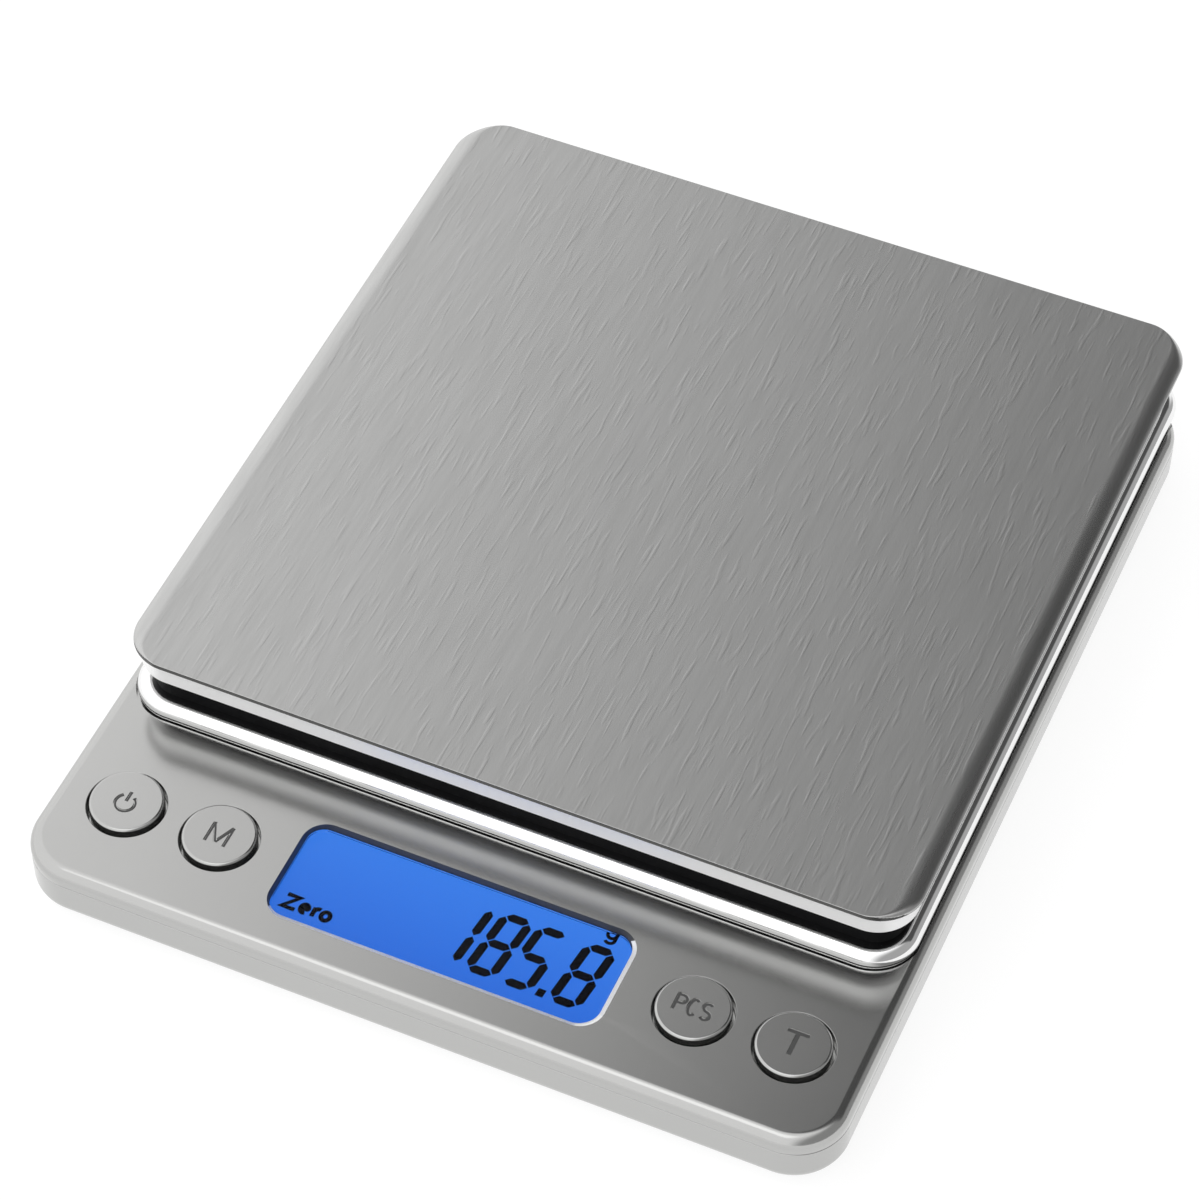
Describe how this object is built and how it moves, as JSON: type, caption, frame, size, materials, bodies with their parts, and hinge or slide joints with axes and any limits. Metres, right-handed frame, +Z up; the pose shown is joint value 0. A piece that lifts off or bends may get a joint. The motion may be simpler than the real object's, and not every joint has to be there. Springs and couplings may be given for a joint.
{
  "type": "digital gram scale",
  "caption": "Low rectangular digital scale: square steel pan on a load cell, satin body, backlit display and round push keys along the front deck, battery door underneath.",
  "frame": {"origin": "centre of the bounding box, on the surface the feet stand on", "axes": "+Z up through the pan, +Y to the rear, +X to the right of the display"},
  "size_m": [0.106, 0.13, 0.019],
  "materials": {
    "satin_shell": "satin silver paint on moulded plastic",
    "key_cap": "satin silver paint with an engraved mark",
    "brushed_plate": "straight brush grain running front to back",
    "plated_trim": "polished plating",
    "black_moulding": "black moulded plastic",
    "clear_pane": "clear pane",
    "lcd_cell": "blue backlit display cell with black segments",
    "light_guide": "white moulded plastic",
    "elastomer": "grey silicone",
    "circuit_board": "green solder mask",
    "cell_alloy": "milled",
    "zinc_steel": "zinc or nickel plated",
    "battery_sleeve": "printed sleeve over a steel can",
    "foot_rubber": "matte black rubber",
    "lead_jacket": "soft PVC jacket",
    "lead_red": "soft PVC jacket"
  },
  "bodies": {
    "body": {"base_housing": "satin_shell", "base_screw_front": "zinc_steel", "base_screw_rear": "zinc_steel", "battery_bridge": "zinc_steel", "battery_contact_minus": "zinc_steel", "battery_contact_plus": "zinc_steel", "battery_front": "battery_sleeve", "battery_lead_minus": "lead_jacket", "battery_lead_plus": "lead_red", "battery_rear": "battery_sleeve", "battery_spring_bridge": "zinc_steel", "battery_spring_minus": "zinc_steel", "case_screw_front_left": "zinc_steel", "case_screw_front_right": "zinc_steel", "case_screw_rear_left": "zinc_steel", "case_screw_rear_right": "zinc_steel", "cell_spacer_lower": "zinc_steel", "controller_chip": "black_moulding", "display_window": "clear_pane", "gauge_seal_lower": "elastomer", "gauge_seal_upper": "elastomer", "lcd_backlight": "light_guide", "lcd_connector": "elastomer", "lcd_glass": "lcd_cell", "load_cell": "cell_alloy", "load_cell_lead": "lead_jacket", "main_pcb": "circuit_board", "pcb_screw_left": "zinc_steel", "pcb_screw_right": "zinc_steel", "rubber_foot_front_left": "foot_rubber", "rubber_foot_front_right": "foot_rubber", "rubber_foot_rear_left": "foot_rubber", "rubber_foot_rear_right": "foot_rubber", "switch_body_count": "black_moulding", "switch_body_mode": "black_moulding", "switch_body_power": "black_moulding", "switch_body_tare": "black_moulding", "top_cover": "satin_shell"},
    "pan": {"weighing_plate": "brushed_plate", "pan_bezel": "plated_trim", "trim_ring": "plated_trim", "pan_frame": "black_moulding", "cell_spacer_upper": "zinc_steel", "pan_screw_front": "zinc_steel", "pan_screw_rear": "zinc_steel"},
    "door": {"battery_door": "satin_shell"},
    "key_power": {"button_power": "key_cap", "switch_plunger_power": "light_guide"},
    "key_mode": {"button_mode": "key_cap", "switch_plunger_mode": "light_guide"},
    "key_count": {"button_count": "key_cap", "switch_plunger_count": "light_guide"},
    "key_tare": {"button_tare": "key_cap", "switch_plunger_tare": "light_guide"}
  },
  "joints": [
    {"name": "pan_travel", "type": "slide", "parent": "body", "child": "pan", "axis": [0, 0, -1], "range_m": [0, 0.0005], "stiffness_N_per_m": 40000, "deforming": ["load_cell", "gauge_seal_upper", "gauge_seal_lower"]},
    {"name": "power_press", "type": "slide", "parent": "body", "child": "key_power", "axis": [0, 0, -1], "range_m": [0, 0.0004], "stiffness_N_per_m": 1500},
    {"name": "mode_press", "type": "slide", "parent": "body", "child": "key_mode", "axis": [0, 0, -1], "range_m": [0, 0.0004], "stiffness_N_per_m": 1500},
    {"name": "count_press", "type": "slide", "parent": "body", "child": "key_count", "axis": [0, 0, -1], "range_m": [0, 0.0004], "stiffness_N_per_m": 1500},
    {"name": "tare_press", "type": "slide", "parent": "body", "child": "key_tare", "axis": [0, 0, -1], "range_m": [0, 0.0004], "stiffness_N_per_m": 1500},
    {"name": "door_swing", "type": "hinge", "parent": "body", "child": "door", "pos_m": [0, 0.0378, 0.0011], "axis": [-1, 0, 0], "range_deg": [0, 95]}
  ]
}
